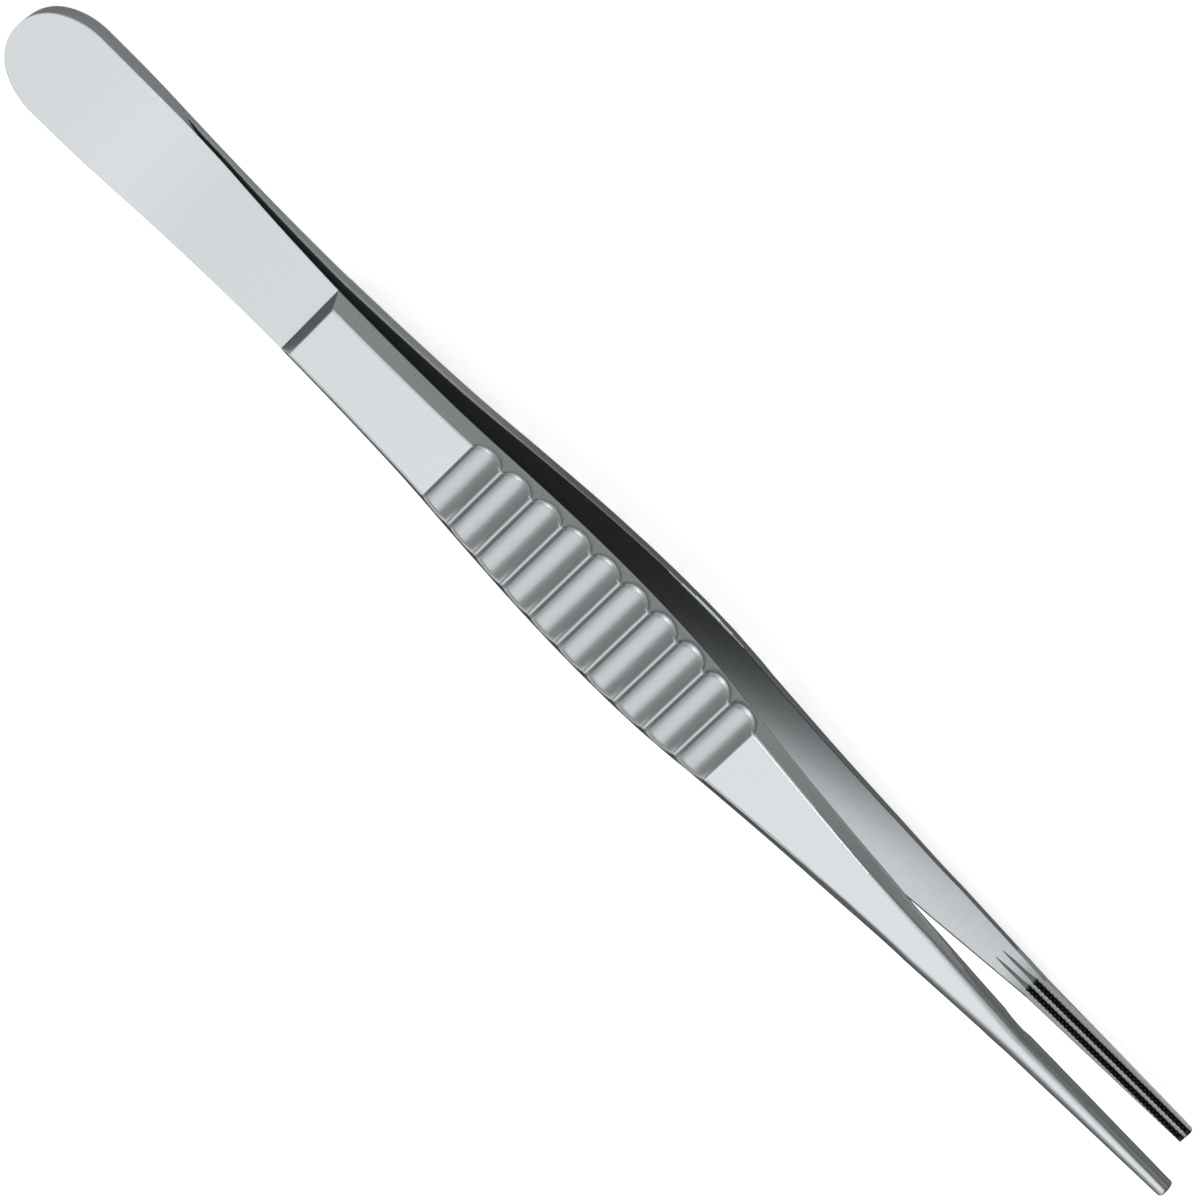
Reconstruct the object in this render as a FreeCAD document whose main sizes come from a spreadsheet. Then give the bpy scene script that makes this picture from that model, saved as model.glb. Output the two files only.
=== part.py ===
import FreeCAD, Part
import os
import Sketcher
from FreeCAD import Placement, Rotation, Vector

# Thumb forceps with grooved grips and atraumatic jaws, in millimetres.
# Each arm is drawn in its own frame: X runs from the rear end to the tip, the
# parting plane where the two arms are welded is z = 0, and the arm lies above it.

SIZES = {
    # whole arm
    "arm_length": 150.0,
    "rest_tilt": 2.04,
    # rear plate
    "rear_length": 6.2,
    "rear_half": 5.12,
    "rear_side_arc": 7.5,
    "rear_thick": 1.3,
    "weld_length": 17.0,
    "weld_relief": 0.06,
    "thin_at": 20.0,
    "thin_thick": 0.97,
    "waist_at": 24.0,
    "waist_half": 4.62,
    "waist_arc": 310.0,
    # raised grip: step, bevel and straight lines of the side view
    "step_at": 37.8,
    "step_run": 0.85,
    "step_half": 4.12,
    "outer_height": 3.9,
    "plate_height": 1.95,
    "plate_front": 6.4,
    "inner_height": 0.45,
    "inner_front": 5.3,
    "bevel_run": 1.05,
    # half widths of grip and shank at ten equal steps from the step to the neck
    "half_1": 4.17,
    "half_2": 4.38,
    "half_3": 4.88,
    "half_4": 5.3,
    "half_5": 5.42,
    "half_6": 5.12,
    "half_7": 4.25,
    "half_8": 3.46,
    "half_9": 2.83,
    "neck_at": 118.0,
    "neck_half": 2.26,
    "neck_bevel": 0.84,
    "neck_arc": 20.0,
    # grip flutes
    "flute_from": 56.2,
    "flute_pitch": 3.7,
    "flute_count": 10.0,
    "flute_radius": 2.2,
    "flute_depth": 0.86,
    # jaw
    "jaw_at": 130.0,
    "jaw_half": 1.4,
    "jaw_flat": 0.6,
    "jaw_inner": 5.75,
    "jaw_outer": 7.12,
    "jaw_arc": 0.95,
    "tip_shoulder": 0.47,
    "tip_half": 0.9,
    "tip_flat": 0.3,
    "tip_corner": 0.3,
    # jaw teeth: two rails on the lower jaw, one ridge on the upper
    "rail_from": 124.0,
    "rail_width": 0.46,
    "rail_gap": 0.5,
    "rail_height": 0.28,
    "ridge_width": 0.4,
    "ridge_height": 0.24,
    "tooth_from": 129.8,
    "tooth_pitch": 0.5,
    "tooth_count": 40.0,
    "tooth_share": 0.84,
    "tooth_depth": 0.2,
    "relief_at": 129.3,
    "relief_radius": 5.0,
    "relief_depth": 0.28,
}

doc = FreeCAD.newDocument("ThumbForceps")
sheet = doc.addObject("Spreadsheet::Sheet", "Sizes")
for row, (alias, number) in enumerate(SIZES.items(), start=1):
    sheet.set("A%d" % row, alias)
    sheet.set("B%d" % row, str(number))
    sheet.setAlias("B%d" % row, alias)
doc.recompute()


def formula(text):
    """Put the sheet's name before every size that the text names."""
    words = []
    word = ""
    for letter in text + " ":
        if letter.isalnum() or letter == "_":
            word += letter
            continue
        words.append("Sizes." + word if word in SIZES else word)
        words.append(letter)
        word = ""
    return "".join(words).strip()


def number(text):
    got = sheet.evalExpression(formula(text))
    return float(getattr(got, "Value", got))


# Heights along the side view, as formulas of the distance x from the rear end.
def outer_z(x):
    return "(outer_height + (%s - step_at - step_run) * tan(rest_tilt * 1deg))" % x


def plate_z(x):
    rise = "(plate_front - plate_height) / (jaw_at - step_at)"
    return "(plate_height + (%s - step_at) * %s)" % (x, rise)


def inner_z(x):
    rise = "(inner_front - inner_height) / (neck_at - step_at)"
    return "(inner_height + (%s - step_at) * %s)" % (x, rise)


def origin_plane(body, role):
    return [f for f in body.Origin.OriginFeatures if f.Role == role][0]


def new_sketch(body, name, role, offset=None):
    sketch = body.newObject("Sketcher::SketchObject", name)
    sketch.AttachmentSupport = [(origin_plane(body, role), "")]
    sketch.MapMode = "FlatFace"
    if offset:
        sketch.setExpression("AttachmentOffset.Base.z", formula(offset))
    return sketch


def outline(sketch, points, arcs=None):
    """Close a loop through points, each a pair of formulas. arcs gives, for the
    number of a side, its radius formula and the side it bulges to (1 is right)."""
    arcs = arcs or {}
    places = [Vector(number(x), number(y), 0) for x, y in points]
    first = sketch.GeometryCount
    count = len(points)
    ends = []
    for i in range(count):
        a = places[i]
        b = places[(i + 1) % count]
        if i not in arcs:
            sketch.addGeometry(Part.LineSegment(a, b))
            ends.append((1, 2))
            continue
        radius = number(arcs[i][0])
        half = (b - a).Length / 2
        sagitta = radius - (radius * radius - half * half) ** 0.5
        right = Vector(b.y - a.y, a.x - b.x, 0).normalize()
        middle = (a + b) * 0.5 + right * (sagitta * arcs[i][1])
        if arcs[i][1] > 0:
            sketch.addGeometry(Part.Arc(a, middle, b))
            ends.append((1, 2))
        else:
            sketch.addGeometry(Part.Arc(b, middle, a))
            ends.append((2, 1))
    for i in range(count):
        j = (i + 1) % count
        meet = (first + i, ends[i][1], first + j, ends[j][0])
        sketch.addConstraint(Sketcher.Constraint("Coincident", *meet))
    for i, pair in enumerate(points):
        for kind, text, value in zip(("DistanceX", "DistanceY"), pair, places[i]):
            rule = Sketcher.Constraint(kind, -1, 1, first + i, ends[i][0], value)
            index = sketch.addConstraint(rule)
            sketch.setExpression("Constraints[%d]" % index, formula(text))
    for i, (radius, _) in arcs.items():
        index = sketch.addConstraint(Sketcher.Constraint("Radius", first + i, number(radius)))
        sketch.setExpression("Constraints[%d]" % index, formula(radius))
    return sketch


def grip_section(body, name, x, half, run):
    """Section of plate and boss at x: upright walls, then the sloping bevels.
    It rises above the outer face, which planing brings back to one flat."""
    high = outer_z(x)
    low = plate_z(x)
    stock = 0.5
    top = "%s + %s" % (high, stock)
    top_half = "%s - %s * (%s + %s - %s) / (%s - %s)" % (half, run, high, stock, low, high, low)
    sketch = new_sketch(body, name, "YZ_Plane", x)
    right = [(half, inner_z(x)), (half, low), (top_half, top)]
    left = [("-(%s)" % y, z) for y, z in reversed(right)]
    return outline(sketch, right + left)


def jaw_section(body, name, x, half, flat, inner, plate, outer, arc):
    """Section of the neck and jaw at x, with rounded shoulders."""
    sketch = new_sketch(body, name, "YZ_Plane", x)
    right = [(half, inner), (half, plate), (flat, outer)]
    left = [("-(%s)" % y, z) for y, z in reversed(right)]
    return outline(sketch, right + left, {1: (arc, 1), 3: (arc, 1)})


def half_widths():
    """Half widths at twenty equal steps from the step to the neck. Each second
    one lies on the smooth curve through the four named ones around it."""
    named = ["step_half"] + ["half_%d" % k for k in range(1, 10)] + ["neck_half"]
    found = []
    for k in range(len(named) - 1):
        found.append(named[k])
        near = "(%s + %s)" % (named[k], named[k + 1])
        if 0 < k < len(named) - 2:
            far = "(%s + %s)" % (named[k - 1], named[k + 2])
            found.append("((9 * %s - %s) / 16)" % (near, far))
        else:
            found.append("(%s / 2)" % near)
    return found + [named[-1]]


def pocket(body, name, sketch, length=None):
    cut = body.newObject("PartDesign::Pocket", name)
    cut.Profile = sketch
    cut.Midplane = True
    if length:
        cut.setExpression("Length", formula(length))
    else:
        cut.Type = "ThroughAll"
    sketch.Visibility = False
    return cut


def repeat(body, name, feature, axis, length, count):
    pattern = body.newObject("PartDesign::LinearPattern", name)
    pattern.Originals = [feature]
    pattern.Direction = axis
    pattern.setExpression("Length", formula(length))
    pattern.setExpression("Occurrences", formula(count))
    body.Tip = pattern
    return pattern


def make_arm(name, label):
    body = doc.addObject("PartDesign::Body", name)
    body.Label = label

    # Rear plate: its side view padded to full width, then trimmed in plan.
    side = outline(new_sketch(body, name + "_rear_side", "XZ_Plane"), [
        ("0", "0"),
        ("weld_length", "0"),
        ("weld_length + 1", "weld_relief"),
        ("step_at", "inner_height"),
        ("step_at", "plate_height"),
        ("thin_at", "thin_thick"),
        ("rear_length * 2", "rear_thick"),
        ("0", "rear_thick"),
    ])
    plate = body.newObject("PartDesign::Pad", name + "_rear_plate")
    plate.Profile = side
    plate.Midplane = True
    plate.setExpression("Length", formula("rear_half * 2 + 2"))
    drop = "(rear_side_arc - rear_half)"
    end = "((rear_side_arc^2 - rear_length^2 - %s^2) / (2 * (rear_side_arc - rear_length)))" % drop
    share = "(rear_side_arc / (rear_side_arc - %s))" % end
    meet_x = "rear_length - (rear_length - %s) * %s" % (end, share)
    meet_y = "%s * %s - %s" % (drop, share, drop)
    upper = [
        ("rear_length", "rear_half"),
        ("waist_at", "waist_half"),
        ("step_at", "step_half"),
        ("step_at + 5", "step_half"),
        ("step_at + 5", "rear_half + 3"),
        ("-3", "rear_half + 3"),
        ("-3", "0"),
        ("0", "0"),
    ]
    for mark, side_of in (("upper", 1), ("lower", -1)):
        points = [(x, y if side_of > 0 else "-(%s)" % y) for x, y in upper]
        points.append((meet_x, meet_y if side_of > 0 else "-(%s)" % meet_y))
        arcs = {
            0: ("waist_arc", -side_of),
            1: ("waist_arc", side_of),
            7: (end, -side_of),
            8: ("rear_side_arc", -side_of),
        }
        trim = outline(new_sketch(body, "%s_trim_%s" % (name, mark), "XY_Plane"), points, arcs)
        pocket(body, "%s_plan_%s" % (name, mark), trim)

    # Grip and shank: one loft through sections at equal steps, straight between.
    sections = []
    for k, half in enumerate(half_widths()):
        x = "(step_at + (neck_at - step_at) * %d / 20)" % k
        run = "neck_bevel" if half == "neck_half" else "bevel_run"
        sections.append(grip_section(body, "%s_section_%d" % (name, k), x, half, run))
    grip = body.newObject("PartDesign::AdditiveLoft", name + "_grip")
    grip.Profile = sections[0]
    grip.Sections = sections[1:]
    grip.Ruled = True

    # Planing: the bevel at the step and the long flat outer face.
    step_top = "step_at + step_run"
    planing = outline(new_sketch(body, name + "_planing", "XZ_Plane"), [
        ("step_at", "plate_height"),
        (step_top, "outer_height"),
        ("neck_at + 1", outer_z("(neck_at + 1)")),
        ("neck_at + 1", "jaw_outer + 5"),
        ("step_at - 2", "jaw_outer + 5"),
        ("step_at - 2", "plate_height"),
    ])
    pocket(body, name + "_flats", planing)

    # Neck and jaw: straight tapers with rounded shoulders.
    tip_shoulder = "jaw_inner + (jaw_outer - jaw_inner) * tip_shoulder"
    sections = [
        jaw_section(body, name + "_neck_section", "neck_at", "neck_half",
                    "neck_half - neck_bevel", "inner_front", plate_z("neck_at"),
                    outer_z("neck_at"), "neck_arc"),
        jaw_section(body, name + "_jaw_section", "jaw_at", "jaw_half", "jaw_flat",
                    "jaw_inner", "plate_front", outer_z("jaw_at"), "jaw_arc"),
        jaw_section(body, name + "_tip_section", "arm_length", "tip_half", "tip_flat",
                    "jaw_inner", tip_shoulder, "jaw_outer", "jaw_arc"),
    ]
    jaw = body.newObject("PartDesign::AdditiveLoft", name + "_jaw")
    jaw.Profile = sections[0]
    jaw.Sections = sections[1:]
    jaw.Ruled = True

    # Flutes: one round-bottomed groove across the grip, then repeated.
    flute = new_sketch(body, name + "_flute_profile", "XZ_Plane")
    middle = "(flute_from + flute_pitch / 2)"
    flute.setExpression("AttachmentOffset.Base.x", formula(middle))
    flute.setExpression("AttachmentOffset.Base.y", formula(outer_z(middle)))
    flute.AttachmentOffset.Rotation.Axis = Vector(0, 0, 1)
    flute.setExpression("AttachmentOffset.Rotation.Angle", formula("rest_tilt"))
    reach = "sqrt(flute_radius^2 - (flute_radius - flute_depth)^2)"
    outline(flute, [("-(%s)" % reach, "0"), (reach, "0"), (reach, "3"), ("-(%s)" % reach, "3")],
            {0: ("flute_radius", 1)})
    groove = pocket(body, name + "_flute", flute)
    repeat(body, name + "_flutes", groove, (flute, ["H_Axis"]),
           "flute_pitch * (flute_count - 1)", "flute_count")

    # Rounded end of the tip: its sides and its outer face turn into the end face.
    start = "(arm_length - tip_corner)"
    share = "tip_corner / (arm_length - jaw_at)"
    side = "(tip_half + (jaw_half - tip_half) * %s)" % share
    end = "(tip_half - tip_corner)"
    for mark, sign, bulge in (("upper", "", -1), ("lower", "-", 1)):
        corner = outline(new_sketch(body, "%s_corner_%s" % (name, mark), "XY_Plane"), [
            (start, sign + side),
            ("arm_length", sign + end),
            ("arm_length + 1", sign + end),
            ("arm_length + 1", sign + "(tip_half + 1)"),
            (start, sign + "(tip_half + 1)"),
        ], {0: ("tip_corner * 1.4", bulge)})
        pocket(body, "%s_tip_%s" % (name, mark), corner)
    top = "(jaw_outer + (%s - jaw_outer) * %s)" % (outer_z("jaw_at"), share)
    corner = outline(new_sketch(body, name + "_corner_outer", "XZ_Plane"), [
        (start, top),
        ("arm_length", "jaw_outer - tip_corner"),
        ("arm_length + 1", "jaw_outer - tip_corner"),
        ("arm_length + 1", "jaw_outer + 1"),
        (start, "jaw_outer + 1"),
    ], {0: ("tip_corner * 1.4", -1)})
    pocket(body, name + "_tip_outer", corner)
    return body


def add_rails(body, name, places, width, height):
    """Serrated rails along the jaw's inner face, at the given places across it."""
    rails = new_sketch(body, name + "_rail_section", "YZ_Plane", "rail_from")
    for place in places:
        near = "%s - %s / 2" % (place, width)
        far = "%s + %s / 2" % (place, width)
        low = "jaw_inner - %s" % height
        high = "jaw_inner + relief_depth + 0.05"
        outline(rails, [(near, low), (far, low), (far, high), (near, high)])
    pad = body.newObject("PartDesign::Pad", name + "_rails")
    pad.Profile = rails
    pad.setExpression("Length", formula("arm_length - rail_from"))
    tooth = new_sketch(body, name + "_tooth_profile", "XZ_Plane")
    half = "tooth_pitch * tooth_share / 2"
    low = "jaw_inner - %s" % height
    outline(tooth, [
        ("tooth_from - %s" % half, low),
        ("tooth_from - %s" % half, low + " - 0.1"),
        ("tooth_from + %s" % half, low + " - 0.1"),
        ("tooth_from + %s" % half, low),
        ("tooth_from", low + " + tooth_depth"),
    ])
    gap = pocket(body, name + "_tooth", tooth)
    repeat(body, name + "_teeth", gap, (tooth, ["H_Axis"]),
           "tooth_pitch * (tooth_count - 1)", "tooth_count")


upper = make_arm("upper_arm", "Upper arm")
relief = new_sketch(upper, "upper_arm_relief_profile", "XZ_Plane")
reach = "sqrt(relief_radius^2 - (relief_radius - relief_depth)^2)"
level = "jaw_inner - (jaw_at - relief_at) * (jaw_inner - inner_front) / (jaw_at - neck_at)"
outline(relief, [
    ("relief_at + " + reach, level),
    ("relief_at - " + reach, level),
    ("relief_at - " + reach, level + " - 0.5"),
    ("relief_at + " + reach, level + " - 0.5"),
], {0: ("relief_radius", 1)})
pocket(upper, "upper_arm_relief", relief)
add_rails(upper, "upper_arm", ["0"], "ridge_width", "ridge_height")

lower = make_arm("lower_arm", "Lower arm")
offset = "(rail_gap + rail_width) / 2"
add_rails(lower, "lower_arm", ["-" + offset, offset], "rail_width", "rail_height")

# Rest pose: the lower arm lies on the flat outer face of its grip and shank, the
# two arms meet on the parting plane, and the whole is centred over the origin.
arms = [upper, lower]
depth = "(outer_height - (step_at + step_run) * tan(rest_tilt * 1deg))"
reach_x = "(arm_length * cos(rest_tilt * 1deg) + (jaw_outer - rear_thick) * sin(rest_tilt * 1deg))"
for arm in arms:
    arm.setExpression("Placement.Base.x", formula("-%s / 2" % reach_x))
    arm.setExpression("Placement.Base.z", formula("%s * cos(rest_tilt * 1deg)" % depth))
upper.Placement.Rotation = Rotation(Vector(0, -1, 0), number("rest_tilt"))
upper.setExpression("Placement.Rotation.Angle", formula("rest_tilt"))
half_turn = number("rest_tilt / 2") * 3.141592653589793 / 180
lower.Placement.Rotation = Rotation(Vector(1, 0, half_turn), 180)
lower.setExpression("Placement.Rotation.Axis.x", formula("cos(rest_tilt * 0.5deg)"))
lower.setExpression("Placement.Rotation.Axis.z", formula("sin(rest_tilt * 0.5deg)"))
doc.recompute()

os.makedirs("parts", exist_ok=True)
for arm in arms:
    for item in [arm] + list(arm.Group):
        if "Invalid" in item.State or "Error" in item.State:
            raise RuntimeError("%s is %s" % (item.Name, item.State))
    shape = arm.Shape
    if shape.isNull() or not shape.isValid() or len(shape.Solids) != 1:
        raise RuntimeError("%s has no single valid solid" % arm.Name)
    print(arm.Name, round(shape.Volume, 2), shape.BoundBox)
    shape.exportStep("parts/%s.step" % arm.Name)
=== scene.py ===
import math

import bpy
import numpy as np
from mathutils import Matrix, Vector


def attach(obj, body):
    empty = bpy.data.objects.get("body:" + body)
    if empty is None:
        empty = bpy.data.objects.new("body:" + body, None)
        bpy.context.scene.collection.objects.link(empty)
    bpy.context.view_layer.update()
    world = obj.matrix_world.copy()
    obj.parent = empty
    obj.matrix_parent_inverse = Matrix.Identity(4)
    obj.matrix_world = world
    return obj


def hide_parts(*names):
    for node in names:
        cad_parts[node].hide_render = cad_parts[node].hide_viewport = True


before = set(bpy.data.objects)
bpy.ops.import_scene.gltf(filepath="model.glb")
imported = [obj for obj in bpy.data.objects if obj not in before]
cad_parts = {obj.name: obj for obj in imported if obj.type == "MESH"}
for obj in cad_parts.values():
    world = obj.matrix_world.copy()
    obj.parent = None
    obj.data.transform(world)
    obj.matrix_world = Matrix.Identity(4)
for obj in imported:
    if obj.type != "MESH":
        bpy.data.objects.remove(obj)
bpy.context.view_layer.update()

# Sizes in millimetres, in the arm's own frame: x runs from the rear end to the
# tip, z = 0 is the plane where the two rear plates are welded, y is across.
LENGTH = 150.0
TILT = math.radians(2.04)
REAR = dict(length=6.2, half=5.12, side_arc=7.5, thick=1.3, weld=17.0, relief=0.2)
THIN_AT, THIN_THICK = 20.0, 0.97
WAIST_AT, WAIST_HALF, WAIST_ARC = 24.0, 4.62, 310.0
STEP_AT, STEP_RUN, STEP_HALF = 37.8, 0.85, 4.12
OUTER_HEIGHT, PLATE_HEIGHT, PLATE_FRONT = 3.9, 1.95, 6.4
INNER_HEIGHT, INNER_FRONT = 0.45, 5.3
BEVEL_RUN, NECK_BEVEL = 1.05, 0.84
GRIP_HALVES = [STEP_HALF, 4.17, 4.38, 4.88, 5.3, 5.42, 5.12, 4.25, 3.46, 2.83, 2.26]
NECK_AT, JAW_AT = 118.0, 130.0
JAW_HALF, JAW_FLAT, TIP_HALF, TIP_FLAT = 1.4, 0.6, 0.9, 0.3
JAW_INNER, JAW_OUTER, TIP_SHOULDER, TIP_CORNER = 5.75, 7.12, 0.47, 0.3
FLUTE = dict(start=56.2, pitch=3.7, count=10, radius=2.2, depth=0.86)
FLUTES_END = FLUTE["start"] + FLUTE["pitch"] * FLUTE["count"]
FLANK = dict(at=1.4, rise=1.4)
RAIL = dict(start=129.4, width=0.46, gap=0.5, height=0.28)
RIDGE = dict(start=129.4, width=0.4, height=0.24)
RUN_OUT = dict(start=125.2, width=RAIL["width"] * 0.9, height=0.12, least=0.01, root=0.1)
TOOTH = dict(start=129.8, pitch=0.5, count=40, share=0.84, depth=0.2)
RAIL_END, LAST_GAP_END, RAIL_ROOT = LENGTH - 0.06, LENGTH - 0.08, 0.05
RELIEF = dict(at=129.3, radius=5.0, depth=0.28)
UPPER_DRAFT, LOWER_DRAFT = 0.4, 0.04

# How softly the forms meet: reach of the rounded edges, and blends between heights.
EDGE, JAW_EDGE = 0.2, 0.7
HALF_SIDE, CROWNED_SIDE = 0.49, 0.97
STEP_BLEND, END_BLEND, WAIST_BLEND = 0.16, 0.08, 0.4
FLUTE_EDGE, FLUTE_END = 0.07, 0.65

# Points of half a cross section, from the middle of the inside face round to
# the outer face, and the column where each stretch begins.
COLUMNS = dict(inside=5, inner_edge=5, wall=3, shoulder=8, bevel=17, outer_edge=8, outside=4)
FIRST = dict(zip(COLUMNS, np.cumsum([0] + list(COLUMNS.values())).tolist()))
FLAT_SHARES = [0.0, 0.35, 0.7, 0.92, 0.985]
WALL_SHARES = [0.06, 0.5, 0.94]
BEVEL_SHARES = [0.03, *np.linspace(0.08, 0.92, 15), 0.97]

# The finish of each zone, and where along x it changes. Only the faces keep
# the steel's own grey: the other zones paint shade into the colour, and the
# rim's lens paints a highlight. Those that change in steps do so column by
# column, so that the border runs slantwise and isn't seen as a line.
FACE, BEVEL_SHADE, WALL_SHADE, INNER_SHADE, FLUTE_SHADE, TEETH_SHADE, RIM_HIGHLIGHT, JAW_SHADE, GROOVE_SHADE = range(9)
# Painted highlight: the lens on the far arm's inner edge, its middle and half length.
PAINTED_HIGHLIGHT_AT, PAINTED_HIGHLIGHT_HALF = 82.6, 5.0
# Painted shade on the insides of the jaws starts here.
JAW_SHADE_FROM = 126.0
# Painted shade on the lower arm's inner edge and wall just behind the jaw.
LOWER_EDGE_SHADE = dict(start=126.0, end=127.6, step=1.8)
# Painted shade on the outer edge along the neck, which dims its highlight line.
OUTER_EDGE_SHADE = dict(start=102.0, step=2.5, kinds=[BEVEL_SHADE, BEVEL_SHADE, BEVEL_SHADE, GROOVE_SHADE, FLUTE_SHADE])
# Painted shade on the upper arm's shoulder along the neck.
SHOULDER_SHADE = dict(start=110.0, step=2.0)
# Painted shade on the rounded end of the tip.
TIP_SHADE_FROM = LENGTH - TIP_CORNER * 0.6
# Painted shade on the foot of each flute's rear flank, as distances from the flute's middle.
FLUTE_FOOT_SHADE = (-1.76, -1.42)


def outer_z(x):
    """Outer face: a straight line that rises at the rest tilt."""
    return OUTER_HEIGHT + (x - STEP_AT - STEP_RUN) * np.tan(TILT)


def smooth_min(a, b, blend):
    """The smaller of a and b, rounded off where they are closer than blend."""
    near = np.clip(blend - np.abs(a - b), 0, None) / blend
    return np.minimum(a, b) - near * near * blend / 4


def arc_between(x, x0, y0, x1, y1, radius, bulge):
    """Height at x of the circle of this radius through both points, which
    bulges up where bulge is 1 and down where it is -1."""
    mx, my = (x0 + x1) / 2, (y0 + y1) / 2
    half = math.hypot(x1 - x0, y1 - y0) / 2
    rise = math.sqrt(radius * radius - half * half)
    nx, ny = -(y1 - y0) / (2 * half), (x1 - x0) / (2 * half)
    cx, cy = mx - nx * rise * bulge, my - ny * rise * bulge
    return cy + bulge * np.sqrt(np.clip(radius * radius - (x - cx) ** 2, 0, None))


def grip_half(x):
    """Half width from the step to the neck: a smooth curve through the named
    widths, which are evenly spaced, with cubic pieces of matching slope."""
    spans = len(GRIP_HALVES) - 1
    place = np.clip((x - STEP_AT) / (NECK_AT - STEP_AT) * spans, 0, spans)
    k = np.minimum(place.astype(int), spans - 1)
    t = place - k
    h = np.array(GRIP_HALVES)
    before, after = np.maximum(k - 1, 0), np.minimum(k + 2, spans)
    slope0 = (h[k + 1] - h[before]) / 2
    slope1 = (h[after] - h[k]) / 2
    return (h[k] * (2 * t ** 3 - 3 * t ** 2 + 1) + slope0 * (t ** 3 - 2 * t ** 2 + t)
            + h[k + 1] * (3 * t ** 2 - 2 * t ** 3) + slope1 * (t ** 3 - t ** 2))


def half_width(x):
    """Half of the plan outline: a rounded rear end, two long arcs to the step,
    the grip's curve, then straight tapers to the jaw and the tip."""
    r = REAR
    drop = r["side_arc"] - r["half"]
    end = (r["side_arc"] ** 2 - r["length"] ** 2 - drop ** 2) / (2 * (r["side_arc"] - r["length"]))
    share = r["side_arc"] / (r["side_arc"] - end)
    meet = r["length"] - (r["length"] - end) * share
    nose = np.sqrt(np.clip(end ** 2 - (x - end) ** 2, 0, None))
    side = np.sqrt(np.clip(r["side_arc"] ** 2 - (x - r["length"]) ** 2, 0, None)) - drop
    paddle = arc_between(x, r["length"], r["half"], WAIST_AT, WAIST_HALF, WAIST_ARC, 1)
    waist = arc_between(x, WAIST_AT, WAIST_HALF, STEP_AT, STEP_HALF, WAIST_ARC, -1)
    taper = np.interp(x, [NECK_AT, JAW_AT, LENGTH], [GRIP_HALVES[-1], JAW_HALF, TIP_HALF])
    found = np.where(x < meet, nose, side)
    found = np.where(x < r["length"], found, paddle)
    found = np.where(x < WAIST_AT, found, waist)
    found = np.where(x < STEP_AT, found, grip_half(x))
    return np.where(x < NECK_AT, found, taper)


def tip_inset(x):
    """How far the rounded tip draws in: a quarter circle over the last bit."""
    into = np.clip(x - (LENGTH - TIP_CORNER), 0, TIP_CORNER)
    return TIP_CORNER - np.sqrt(np.clip(TIP_CORNER ** 2 - into ** 2, 0, None))


def inner_line(x, relieved):
    """Height of the inside face: straight lines from the weld to the jaw. Where
    relieved, an arc of a circle is scooped out of it behind the teeth."""
    inner = np.interp(x, [0, REAR["weld"], REAR["weld"] + 1, STEP_AT, NECK_AT, JAW_AT],
                      [0, 0, REAR["relief"], INNER_HEIGHT, INNER_FRONT, JAW_INNER])
    if relieved:
        off = x - RELIEF["at"]
        level = np.interp(RELIEF["at"], [NECK_AT, JAW_AT], [INNER_FRONT, JAW_INNER])
        scoop = np.sqrt(np.clip(RELIEF["radius"] ** 2 - off ** 2, 0, None))
        ground = level + RELIEF["depth"] - RELIEF["radius"] + scoop
        inner = np.where(np.abs(off) < RELIEF["radius"] / 2, np.maximum(inner, ground), inner)
    return inner


def side_lines(x):
    """Shoulder and outer face of the side view at x, and the cap that no point
    behind the step rises above: a plate that thins and thickens in straight
    lines with soft turns, then the slope of the step."""
    thick, taper_from = REAR["thick"], REAR["length"] * 2
    fall = THIN_THICK + (x - THIN_AT) * (thick - THIN_THICK) / (taper_from - THIN_AT)
    rise = THIN_THICK + (x - THIN_AT) * (PLATE_HEIGHT - THIN_THICK) / (STEP_AT - THIN_AT)
    rear_top = -smooth_min(-smooth_min(fall, thick, END_BLEND), -rise, WAIST_BLEND)
    plate = PLATE_HEIGHT + (x - STEP_AT) * (PLATE_FRONT - PLATE_HEIGHT) / (JAW_AT - STEP_AT)
    tip_plate = JAW_INNER + (JAW_OUTER - JAW_INNER) * TIP_SHOULDER
    plate = np.where(x < JAW_AT, plate, np.interp(x, [JAW_AT, LENGTH], [PLATE_FRONT, tip_plate]))
    shoulder = np.where(x < STEP_AT, rear_top, plate)
    jaw_top = np.interp(x, [JAW_AT, LENGTH], [outer_z(JAW_AT), JAW_OUTER])
    outer = np.where(x < JAW_AT, outer_z(x), jaw_top)
    step = PLATE_HEIGHT + (x - STEP_AT) * (OUTER_HEIGHT - PLATE_HEIGHT) / STEP_RUN
    cap = np.where(x < STEP_AT, rear_top, step)
    return shoulder, outer, cap


def flute_floor(x):
    """Floor of the flutes at x: arcs sunk below the outer face, a pitch apart,
    with a square term that steepens the last of each flank beside the land.
    Also the distance of x from the nearest flute's middle."""
    f = FLUTE
    first = f["start"] + f["pitch"] / 2
    k = np.clip(np.round((x - first) / f["pitch"]), 0, f["count"] - 1)
    off = x - first - k * f["pitch"]
    arc = np.sqrt(np.clip(f["radius"] ** 2 - off ** 2, 0, None))
    steeper = FLANK["rise"] * np.clip(np.abs(off) - FLANK["at"], 0, None) ** 2
    floor = outer_z(x) + f["radius"] - f["depth"] - arc + steeper
    return np.where(np.abs(off) < f["radius"], floor, outer_z(x) + f["radius"]), off


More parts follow.
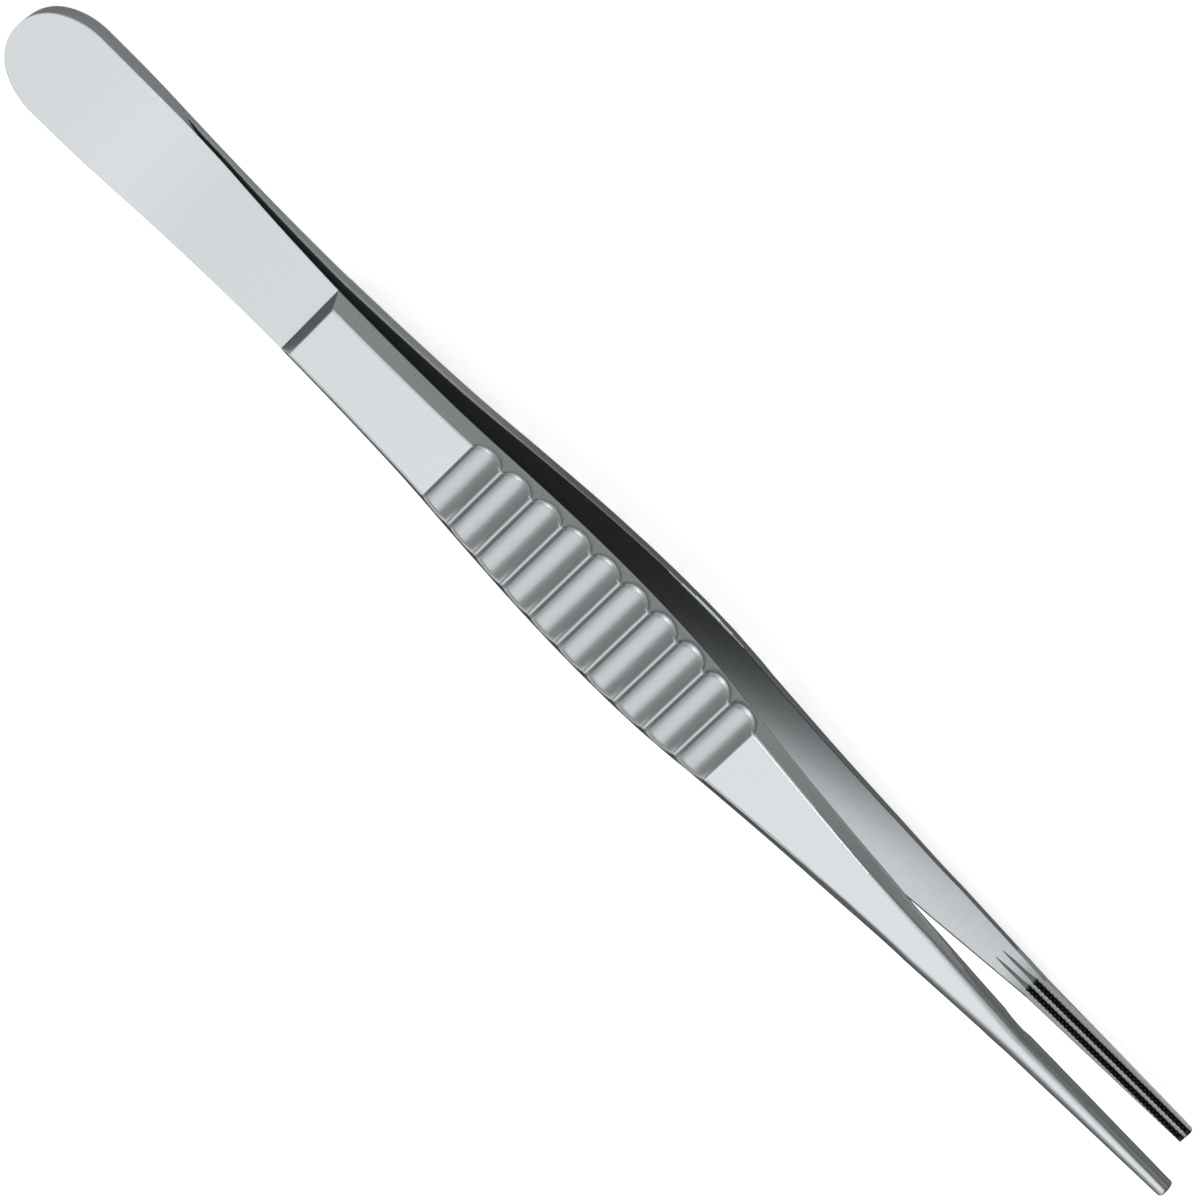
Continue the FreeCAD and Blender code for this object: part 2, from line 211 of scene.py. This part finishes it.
def stations():
    """Where the sections are cut: close together at ends, step, flutes and jaw."""
    nose = REAR["length"] * (1 - np.cos(np.linspace(0.02, math.pi / 2, 26)))
    beside = 0.3
    stops = [(REAR["length"], 0), (STEP_AT - beside, 60), (STEP_AT + STEP_RUN + beside, 34),
             (FLUTE["start"], 26), (FLUTES_END, 371), (NECK_AT, 60), (JAW_AT + 0.4, 70),
             (LENGTH - TIP_CORNER, 40)]
    parts = [nose]
    for (start, _), (end, count) in zip(stops, stops[1:]):
        parts.append(np.linspace(start, end, count)[1:])
    parts.append(LENGTH - TIP_CORNER * (1 - np.sin(np.linspace(0, math.pi / 2, 9)))[1:])
    return np.concatenate(parts)


def corner_curve(before, at, after, reach, count, most=HALF_SIDE):
    """Quadratic curve that rounds the corner at, starting reach along each side,
    but on the side after it no further than the share most of that side."""
    back, on = before - at, after - at
    back_len = np.linalg.norm(back, axis=-1, keepdims=True)
    on_len = np.linalg.norm(on, axis=-1, keepdims=True)
    reach_back = np.minimum(reach, back_len * HALF_SIDE)
    reach_on = np.minimum(reach, on_len * most)
    a = at + back / np.maximum(back_len, 1e-9) * reach_back
    b = at + on / np.maximum(on_len, 1e-9) * reach_on
    t = np.linspace(0, 1, count)[None, :, None]
    return (1 - t) ** 2 * a[:, None] + 2 * t * (1 - t) * at[:, None] + t * t * b[:, None]


def between(a, b, shares):
    """Points on the straight lines from a to b, at these shares of the way."""
    return [a * (1 - share) + b * share for share in shares]


def section_loops(x, corners):
    """The closed cross section at each x: a hexagon through the corners and
    their mirror images, with its edges rounded by corner curves."""
    soft = np.interp(x, [NECK_AT - 10, JAW_AT], [EDGE, JAW_EDGE])[:, None]
    low = np.interp(x, [REAR["weld"] - 0.5, REAR["weld"] + 2], [0.0, EDGE])[:, None]
    crowned = np.interp(x, [NECK_AT, JAW_AT], [HALF_SIDE, CROWNED_SIDE])[:, None]
    inner_middle, inner, shoulder, outer, outer_middle = corners
    inner_edge = corner_curve(inner_middle, inner, shoulder, low + 1e-4, COLUMNS["inner_edge"])
    side_edge = corner_curve(inner, shoulder, outer, soft, COLUMNS["shoulder"])
    outer_edge = corner_curve(shoulder, outer, outer_middle, soft, COLUMNS["outer_edge"], crowned)
    points = between(inner_middle, inner_edge[:, 0], FLAT_SHARES)
    points += list(np.moveaxis(inner_edge, 1, 0))
    points += between(inner_edge[:, -1], side_edge[:, 0], WALL_SHARES)
    points += list(np.moveaxis(side_edge, 1, 0))
    points += between(side_edge[:, -1], outer_edge[:, 0], BEVEL_SHARES)
    points += list(np.moveaxis(outer_edge, 1, 0))
    points += between(outer_middle, outer_edge[:, -1], FLAT_SHARES[:0:-1])
    right = np.stack(points, 1)
    left = right[:, :0:-1] * np.array([-1, 1])
    return np.concatenate([right, outer_middle[:, None], left], 1)


def paint(zones, rows, column, kind):
    """Give a column and its mirror image this finish in these rows."""
    zones[rows, column] = kind
    zones[rows, -column] = kind


def first_zones(x, z, cap, relieved):
    """The finish of each point, most of it painted shade: by its place round
    the section, then by the heights behind the step, then the painted shade
    and painted highlight along the neck and the jaw."""
    kinds = [INNER_SHADE, RIM_HIGHLIGHT, WALL_SHADE, BEVEL_SHADE if relieved else WALL_SHADE, BEVEL_SHADE, FACE, FACE]
    half = np.repeat(kinds, list(COLUMNS.values()))
    zones = np.tile(np.concatenate([half, [FACE], half[:0:-1]]), (len(x), 1))
    solid = zones != INNER_SHADE
    margin = 0.05
    rear = (x < STEP_AT - margin)[:, None]
    step = (x < STEP_AT + STEP_RUN)[:, None]
    zones[solid & rear & (z > cap[:, None] - margin)] = FACE
    # Painted shade on the slope of the step.
    zones[solid & ~rear & step & (z > cap[:, None] + margin)] = GROOVE_SHADE
    # Painted highlight: the rim grey of the inner edge is kept in a lens that is
    # widest in its second column, and elsewhere the edge gets the walls' painted shade.
    for k in range(COLUMNS["inner_edge"]):
        lens = np.abs(x - PAINTED_HIGHLIGHT_AT) < PAINTED_HIGHLIGHT_HALF * (1 - abs(k - 1) / 3)
        paint(zones, ~lens, FIRST["inner_edge"] + k, WALL_SHADE)
    # Painted shade on the insides of the jaws.
    zones[(zones == INNER_SHADE) & (x > JAW_SHADE_FROM)[:, None]] = JAW_SHADE
    if relieved:
        # Painted shade: the upper arm's shoulder takes the walls' shade along the neck.
        for k in range(COLUMNS["shoulder"]):
            turned = x > SHOULDER_SHADE["start"] + SHOULDER_SHADE["step"] * k
            paint(zones, turned, FIRST["shoulder"] + k, WALL_SHADE)
    else:
        # Painted shade: the lower arm's walls along the jaw take the jaws' shade, and its inner edge
        # behind the jaw the bevels' shade.
        zones[(zones == WALL_SHADE) & (x > JAW_AT)[:, None]] = JAW_SHADE
        for k in range(COLUMNS["inner_edge"] + COLUMNS["wall"]):
            shaded = (x > LOWER_EDGE_SHADE["start"]) & (x < LOWER_EDGE_SHADE["end"] + LOWER_EDGE_SHADE["step"] * k)
            paint(zones, shaded, FIRST["inner_edge"] + k, BEVEL_SHADE)
    # Painted shade on the outer edge along the neck, dimming its highlight line.
    for k, kind in enumerate(OUTER_EDGE_SHADE["kinds"]):
        turned = x > OUTER_EDGE_SHADE["start"] + OUTER_EDGE_SHADE["step"] * k
        paint(zones, turned, FIRST["outer_edge"] + k, kind)
    # Painted shade on the end of the tip.
    zones[x > TIP_SHADE_FROM] = WALL_SHADE
    return zones, solid


def flute_zones(zones, solid, x, z, floor, off):
    """The flutes' painted shade: on the faces of their stretch and on all that
    stands above their floor, a little down the bevels too so that the caps
    keep their highlight, and darker painted shade on the foot of each rear flank."""
    half = FLUTE["pitch"] * FLUTE["count"] / 2
    fluted = np.abs(x - FLUTE["start"] - half) < half - 0.2
    zones[(zones == FACE) & fluted[:, None]] = FLUTE_SHADE
    zones[solid & (z > floor - np.where(zones == BEVEL_SHADE, 0.1, 0))] = FLUTE_SHADE
    foot = (off > FLUTE_FOOT_SHADE[0]) & (off < FLUTE_FOOT_SHADE[1])
    zones[foot[:, None] & (zones == FLUTE_SHADE)] = GROOVE_SHADE


def arm_shell(relieved, draft):
    """One arm as a tube of sections: x along it, a rounded hexagon across it.
    Step and flutes lower every point that lies above them."""
    x = stations()
    inset = tip_inset(x)
    half = np.maximum(half_width(x) - inset, 0.02)
    inner = inner_line(x, relieved)
    shoulder, outer, cap = side_lines(x)
    outer = outer - inset
    run = np.interp(x, [NECK_AT - 8, NECK_AT], [BEVEL_RUN, NECK_BEVEL])
    neck_flat = GRIP_HALVES[-1] - NECK_BEVEL
    flat = np.interp(x, [NECK_AT, JAW_AT, LENGTH], [neck_flat, JAW_FLAT, TIP_FLAT])
    flat = np.where(x < NECK_AT, half - run, flat)
    flat = np.minimum(np.maximum(flat, half * 0.25), half * 0.95)
    drawn_in = np.interp(x, [REAR["weld"], REAR["weld"] + 2, NECK_AT, JAW_AT], [0, draft, draft, 0])
    inner_half = half - drawn_in * (shoulder - inner)
    middle = np.zeros_like(x)
    corners = [np.stack(pair, -1) for pair in (
        (middle, inner), (inner_half, inner), (half, shoulder), (flat, outer), (middle, outer))]
    loop = section_loops(x, corners)
    y, z = loop[..., 0], loop[..., 1]
    zones, solid = first_zones(x, z, cap, relieved)
    z = smooth_min(z, cap[:, None], STEP_BLEND)
    floor, off = flute_floor(x)
    floor = floor[:, None]
    flute_zones(zones, solid, x, z, floor, off)
    z = smooth_min(z, floor, (np.abs(y) > flat[:, None]) * FLUTE_END + FLUTE_EDGE)
    z = np.maximum(z, inner[:, None])
    return np.stack([np.broadcast_to(x[:, None], y.shape), y, z], -1), zones


def close_tube(rings):
    """Quads between neighbouring rings, and a fan of triangles on each end."""
    n, m = rings.shape[:2]
    grid = np.arange(n * m).reshape(n, m)
    a, b = grid[:-1], grid[1:]
    quads = np.stack([a, np.roll(a, -1, 1), np.roll(b, -1, 1), b], -1).reshape(-1, 4)
    points = rings.reshape(-1, 3)
    first, last = rings[0].mean(0), rings[-1].mean(0)
    points = np.concatenate([points, [first, last]])
    head, tail = grid[0], grid[-1]
    fan0 = np.stack([np.roll(head, -1), head, np.full(m, n * m)], -1)
    fan1 = np.stack([tail, np.roll(tail, -1), np.full(m, n * m + 1)], -1)
    return points, [quads, fan0, fan1]


def four_cornered(x, near, far, high, crest):
    """Rings for a bar along x: its sides at near and far across the arm, its
    root sunk to the height high in the jaw and its crest at the height crest."""
    ring = [(near, high), (near, crest), (far, crest), (far, high)]
    return np.stack([np.stack([x, np.broadcast_to(y, x.shape), z], -1) for y, z in ring], 1)


def toothed_rail(across, width, height, start):
    """A rail along the jaw: four-cornered sections whose crest dips in a V at
    each tooth gap, at a constant pitch."""
    t = TOOTH
    half = t["pitch"] * t["share"] / 2
    gap_at = t["start"] + t["pitch"] * np.arange(t["count"])
    gap_at = gap_at[gap_at + half < LAST_GAP_END]
    x = np.stack([gap_at - half, gap_at, gap_at + half], -1).ravel()
    crest = JAW_INNER - height
    z = crest + np.tile([0.0, t["depth"], 0.0], len(gap_at))
    x = np.concatenate([[start], x, [RAIL_END]])
    z = np.concatenate([[crest], z, [crest]])
    high = np.full_like(x, JAW_INNER + RELIEF["depth"] + RAIL_ROOT)
    return four_cornered(x, across - width / 2, across + width / 2, high, z)


def run_out(across):
    """A low run that leads up to a rail: it rises in a straight line, and widens
    fast over the first third and then slowly."""
    start, end = RUN_OUT["start"], RAIL["start"]
    x = np.linspace(start, end, 10)
    z = JAW_INNER - RUN_OUT["height"] * (x - start) / (end - start)
    ground = np.interp(x, [NECK_AT, JAW_AT], [INNER_FRONT, JAW_INNER])
    z = np.minimum(z, ground - RUN_OUT["least"])
    third = start + (end - start) / 3
    spread = RUN_OUT["width"] / 2 * np.interp(x, [start, third, end], [0.15, 0.75, 1])
    return four_cornered(x, across - spread, across + spread, ground + RUN_OUT["root"], z)


def to_scene(points, lower):
    """Rest pose in metres: the lower arm is the upper one turned half round X,
    and each is tilted until the lower arm's outer face lies on the floor."""
    p = np.array(points)
    if lower:
        p = p * np.array([1.0, -1.0, -1.0])
    c, s = math.cos(TILT), math.sin(TILT)
    depth = (OUTER_HEIGHT - (STEP_AT + STEP_RUN) * math.tan(TILT)) * c
    reach = (LENGTH * c + (JAW_OUTER - REAR["thick"]) * s) / 2
    x = p[:, 0] * c - p[:, 2] * s - reach
    z = p[:, 0] * s + p[:, 2] * c + depth
    return np.stack([x, p[:, 1], z], -1) / 1000


def make_mesh(name, shells, lower):
    """One object from closed shells, given as (rings, zones, smooth), where the
    zones say the finish or painted shade of each point, or of each column."""
    verts, faces, smooth, slots = [], [], [], []
    base = 0
    for rings, zones, is_smooth in shells:
        points, groups = close_tube(rings)
        verts.append(to_scene(points, lower))
        for group in groups:
            faces += (group + base).tolist()
            smooth += [is_smooth] * len(group)
        slots.append(np.broadcast_to(zones, rings.shape[:2])[:-1].ravel())
        slots += [np.full(len(fan), np.ravel(zones)[-1]) for fan in groups[1:]]
        base += len(points)
    mesh = bpy.data.meshes.new(name)
    mesh.from_pydata(np.concatenate(verts).tolist(), [], faces)
    mesh.polygons.foreach_set("use_smooth", smooth)
    mesh.polygons.foreach_set("material_index", np.concatenate(slots).astype(np.int32))
    mesh.update()
    mesh.set_sharp_from_angle(angle=math.radians(40))
    obj = bpy.data.objects.new(name, mesh)
    bpy.context.scene.collection.objects.link(obj)
    return obj


def faded(nodes, links, coords, colour, fade, slant):
    """Painted shade: the colour times a share that changes smoothly with x less
    slant times y. Fade is (from, to, share at the first, share at the second), in metres."""
    reach = nodes.new("ShaderNodeVectorMath")
    reach.operation = "DOT_PRODUCT"
    links.new(coords.outputs["Object"], reach.inputs[0])
    reach.inputs[1].default_value = (1, -slant, 0)
    along = nodes.new("ShaderNodeMapRange")
    along.interpolation_type = "SMOOTHSTEP"
    for socket, value in zip(("From Min", "From Max", "To Min", "To Max"), fade):
        along.inputs[socket].default_value = value
    links.new(reach.outputs["Value"], along.inputs["Value"])
    scale = nodes.new("ShaderNodeVectorMath")
    scale.operation = "SCALE"
    links.new(colour, scale.inputs[0])
    links.new(along.outputs["Result"], scale.inputs["Scale"])
    return scale.outputs["Vector"]


def satin_steel(name, tones, roughness, rim=1.0, fade=None, slant=0.0):
    """Satin stainless steel: fine cross-wise grain in gloss and relief. The
    tones are its darkest and lightest grey, which is a little bluish; in most
    zones they are darker than the faces' and so paint shade. Rim is the tint
    of its glancing reflection. With fade, the grey changes along the arm as
    painted shade, as where the gap between the arms is narrow. With slant, the
    line where it starts leans by that much along the arm for each step across."""
    grain_per_metre = (6000, 500, 6000)
    red, blue = 0.955, 1.02
    mat = bpy.data.materials.new(name)
    mat.use_nodes = True
    nodes, links = mat.node_tree.nodes, mat.node_tree.links
    shader = nodes["Principled BSDF"]
    shader.inputs["Metallic"].default_value = 1.0
    shader.inputs["Specular Tint"].default_value = (rim, rim, rim, 1)
    coords = nodes.new("ShaderNodeTexCoord")
    stretch = nodes.new("ShaderNodeMapping")
    stretch.inputs["Scale"].default_value = grain_per_metre
    grain = nodes.new("ShaderNodeTexNoise")
    grain.inputs["Scale"].default_value = 1.0
    grain.inputs["Detail"].default_value = 3.0
    links.new(coords.outputs["Object"], stretch.inputs["Vector"])
    links.new(stretch.outputs["Vector"], grain.inputs["Vector"])
    tone = nodes.new("ShaderNodeValToRGB")
    for element, place, grey in zip(tone.color_ramp.elements, (0.3, 0.7), tones):
        element.position = place
        element.color = (grey * red, grey, grey * blue, 1)
    links.new(grain.outputs["Fac"], tone.inputs["Fac"])
    colour = tone.outputs["Color"]
    if fade is not None:
        colour = faded(nodes, links, coords, colour, fade, slant)
    links.new(colour, shader.inputs["Base Color"])
    gloss = nodes.new("ShaderNodeMapRange")
    gloss.inputs["To Min"].default_value = roughness - 0.05
    gloss.inputs["To Max"].default_value = roughness + 0.05
    links.new(grain.outputs["Fac"], gloss.inputs["Value"])
    links.new(gloss.outputs["Result"], shader.inputs["Roughness"])
    relief = nodes.new("ShaderNodeBump")
    relief.inputs["Strength"].default_value = 0.05
    relief.inputs["Distance"].default_value = 0.00002
    links.new(grain.outputs["Fac"], relief.inputs["Height"])
    links.new(relief.outputs["Normal"], shader.inputs["Normal"])
    return mat


# One material for each zone, in the order of their numbers: the faces' own
# satin steel, then painted shade and one painted highlight.
materials_and_painted_light = [
    satin_steel("satin_steel_faces", (0.625, 0.655), 0.38),
    # Painted shade: the bevels' dark grey stands for the dark they reflect; it also dims the neck's
    # outer edge and the lower arm's inner edge behind the jaw.
    satin_steel("satin_steel_bevels_painted_shade", (0.20, 0.24), 0.38, 0.1),
    # Painted shade: the walls' dark grey, about half as light again forward of x = -8 mm.
    satin_steel("satin_steel_sides_painted_shade", (0.21, 0.25), 0.36, 0.4, (-0.025, -0.008, 1.0, 0.52)),
    # Painted shade: the insides darker than the faces, darkest towards the weld where the gap is
    # narrow, along a slanting line like the near arm's reflection.
    satin_steel("satin_steel_insides_painted_gap_shade", (0.53, 0.58), 0.42, 1.0, (-0.009, 0.04, 0.27, 1.0), 2.5),
    # Painted shade: the flutes a little darker than the faces.
    satin_steel("satin_steel_flutes_painted_shade", (0.5, 0.55), 0.4),
    # Painted shade: the rails and ridge near black, as the shade between the jaws.
    satin_steel("steel_teeth_painted_black_shade", (0.02, 0.03), 0.5, 0.0),
    # Painted highlight: the rims' light grey, kept to a lens on the far arm's inner edge.
    satin_steel("satin_steel_rims_painted_highlight", (0.6, 0.64), 0.42),
    # Painted shade: the jaws' insides dark, lighter behind x = 51 mm.
    satin_steel("satin_steel_jaws_painted_shade", (0.3, 0.33), 0.42, 1.0, (0.051, 0.0555, 1.77, 1.0)),
    # Painted shade: the foot of each flute's rear flank, the step's slope and the neck's outer edge.
    satin_steel("satin_steel_painted_groove_shade", (0.255, 0.295), 0.4),
]

# The rails and ridge take the near-black painted shade, the run-outs the walls' painted shade.
black_teeth_shade, run_out_shade = np.full(4, TEETH_SHADE), np.full(4, WALL_SHADE)
offset = (RAIL["gap"] + RAIL["width"]) / 2
rails = [toothed_rail(side * offset, RAIL["width"], RAIL["height"], RAIL["start"]) for side in (-1, 1)]
ridge = toothed_rail(0.0, RIDGE["width"], RIDGE["height"], RIDGE["start"])
arms = {
    "upper_arm": [(*arm_shell(True, UPPER_DRAFT), True), (ridge, black_teeth_shade, False)],
    "lower_arm": [(*arm_shell(False, LOWER_DRAFT), True),
                  *[(rail, black_teeth_shade, False) for rail in rails],
                  *[(run_out(side * offset), run_out_shade, False) for side in (-1, 1)]],
}
for node, shells in arms.items():
    piece = make_mesh(node + "_finished", shells, node == "lower_arm")
    for finish in materials_and_painted_light:
        piece.data.materials.append(finish)
    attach(piece, "root")
    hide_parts(node)

# Floor: a large pale sheet just under the forceps. To the camera and in
# reflections it is lifted to white, and the soft shadow stays on it.
FLOOR_GLOW = 0.55
FLOOR_HALF, FLOOR_Z = 3, -0.00003
corners = [(-1, -1), (1, -1), (1, 1), (-1, 1)]
sheet = [(x * FLOOR_HALF, y * FLOOR_HALF, FLOOR_Z) for x, y in corners]
floor_mesh = bpy.data.meshes.new("floor")
floor_mesh.from_pydata(sheet, [], [(0, 1, 2, 3)])
floor = bpy.data.objects.new("floor", floor_mesh)
bpy.context.scene.collection.objects.link(floor)
paper = bpy.data.materials.new("floor_paper")
paper.use_nodes = True
paper_nodes, paper_links = paper.node_tree.nodes, paper.node_tree.links
paper_shader = paper_nodes["Principled BSDF"]
paper_shader.inputs["Base Color"].default_value = (0.9, 0.9, 0.9, 1)
paper_shader.inputs["Roughness"].default_value = 0.9
paper_shader.inputs["Emission Color"].default_value = (1, 1, 1, 1)
rays = paper_nodes.new("ShaderNodeLightPath")
seen = rays.outputs["Is Camera Ray"]
for kind_of_ray in ("Is Glossy Ray", "Is Transmission Ray"):
    either = paper_nodes.new("ShaderNodeMath")
    either.operation = "MAXIMUM"
    paper_links.new(seen, either.inputs[0])
    paper_links.new(rays.outputs[kind_of_ray], either.inputs[1])
    seen = either.outputs["Value"]
glow = paper_nodes.new("ShaderNodeMath")
glow.operation = "MULTIPLY"
glow.inputs[1].default_value = FLOOR_GLOW
paper_links.new(seen, glow.inputs[0])
paper_links.new(glow.outputs["Value"], paper_shader.inputs["Emission Strength"])
floor_mesh.materials.append(paper)


def lamp_towards(name, direction, distance, size, radiance):
    """A soft lamp in this direction from the forceps, aimed at them, with an
    even radiance over its size: its power is radiance times pi times area."""
    data = bpy.data.lights.new(name, "AREA")
    data.shape = "RECTANGLE"
    data.size, data.size_y = size
    data.energy = radiance * math.pi * size[0] * size[1]
    lamp = bpy.data.objects.new(name, data)
    lamp.location = Vector(direction).normalized() * distance
    lamp.rotation_euler = (-lamp.location).to_track_quat("-Z", "Y").to_euler()
    bpy.context.scene.collection.objects.link(lamp)


lamp_towards("overhead", (0.1, -0.41, 0.9), 0.9, (1.0, 0.9), 0.95)
lamp_towards("tip_side", (0.68, -0.38, 0.63), 1.0, (0.35, 0.5), 0.7)
lamp_towards("key", (0.05, 0.4, 0.9), 1.0, (0.24, 0.18), 12.0)
lamp_towards("far_side", (0.1, 0.96, 0.27), 1.0, (0.9, 0.35), 1.0)

world = bpy.data.worlds.new("studio")
bpy.context.scene.world = world
world.use_nodes = True
world.node_tree.nodes["Background"].inputs["Color"].default_value = (1, 1, 1, 1)
world.node_tree.nodes["Background"].inputs["Strength"].default_value = 0.35

# Camera: the directions of the picture's right and up edges, and a long lens.
CAMERA_RIGHT = Vector((0.71878618, 0.66039953, -0.21729906))
CAMERA_UP = Vector((-0.68818778, 0.63147914, -0.35725574))
CAMERA_BACK = CAMERA_RIGHT.cross(CAMERA_UP)
CAMERA_TARGET = Vector((0, 0, 0.007))
CAMERA_SLIDE = (-0.0000173, 0.0004901)
CAMERA_DISTANCE = 0.56818
PIXELS_PER_METRE, PICTURE_PIXELS, SENSOR = 10875.7, 1200, 36
camera_data = bpy.data.cameras.new("camera")
camera_data.lens = SENSOR * PIXELS_PER_METRE * CAMERA_DISTANCE / PICTURE_PIXELS
camera_data.sensor_width = SENSOR
camera_data.clip_start = 0.01
camera = bpy.data.objects.new("camera", camera_data)
bpy.context.scene.collection.objects.link(camera)
turn = Matrix((CAMERA_RIGHT, CAMERA_UP, CAMERA_BACK)).transposed()
camera.matrix_world = Matrix.Translation(
    CAMERA_TARGET + CAMERA_RIGHT * CAMERA_SLIDE[0] + CAMERA_UP * CAMERA_SLIDE[1]
    + CAMERA_BACK * CAMERA_DISTANCE) @ turn.to_4x4()
bpy.context.scene.camera = camera
bpy.context.scene.view_settings.view_transform = "Standard"
